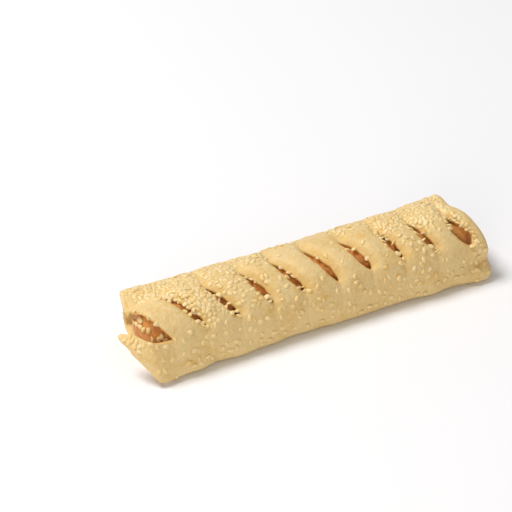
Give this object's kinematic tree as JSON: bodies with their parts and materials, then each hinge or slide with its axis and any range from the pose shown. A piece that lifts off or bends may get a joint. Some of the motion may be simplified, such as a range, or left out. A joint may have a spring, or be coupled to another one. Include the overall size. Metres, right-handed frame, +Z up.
{
  "type": "sausage roll",
  "caption": "Long frankfurter wrapped in a flat-bottomed sleeve of raw puff pastry, slashed across the top and open at both ends, with sesame seeds.",
  "frame": {"origin": "centre of the base of the bounding box, on the surface that the roll rests on", "axes": "+X along the roll, away from the end with the dropped flap; -Y is the front, down which the cuts run; +Z up"},
  "size_m": [0.1948, 0.0508, 0.0348],
  "materials": {
    "raw_pastry": "soft matte raw dough, pale yellow, with a faint sheen of glaze",
    "sausage_skin": "smooth moist skin, reddish brown",
    "sesame_seed": "dry cream-coloured hulled seeds, slightly glossy"
  },
  "bodies": {
    "root": {"pastry": "raw_pastry", "sausage": "sausage_skin"}
  },
  "joints": []
}
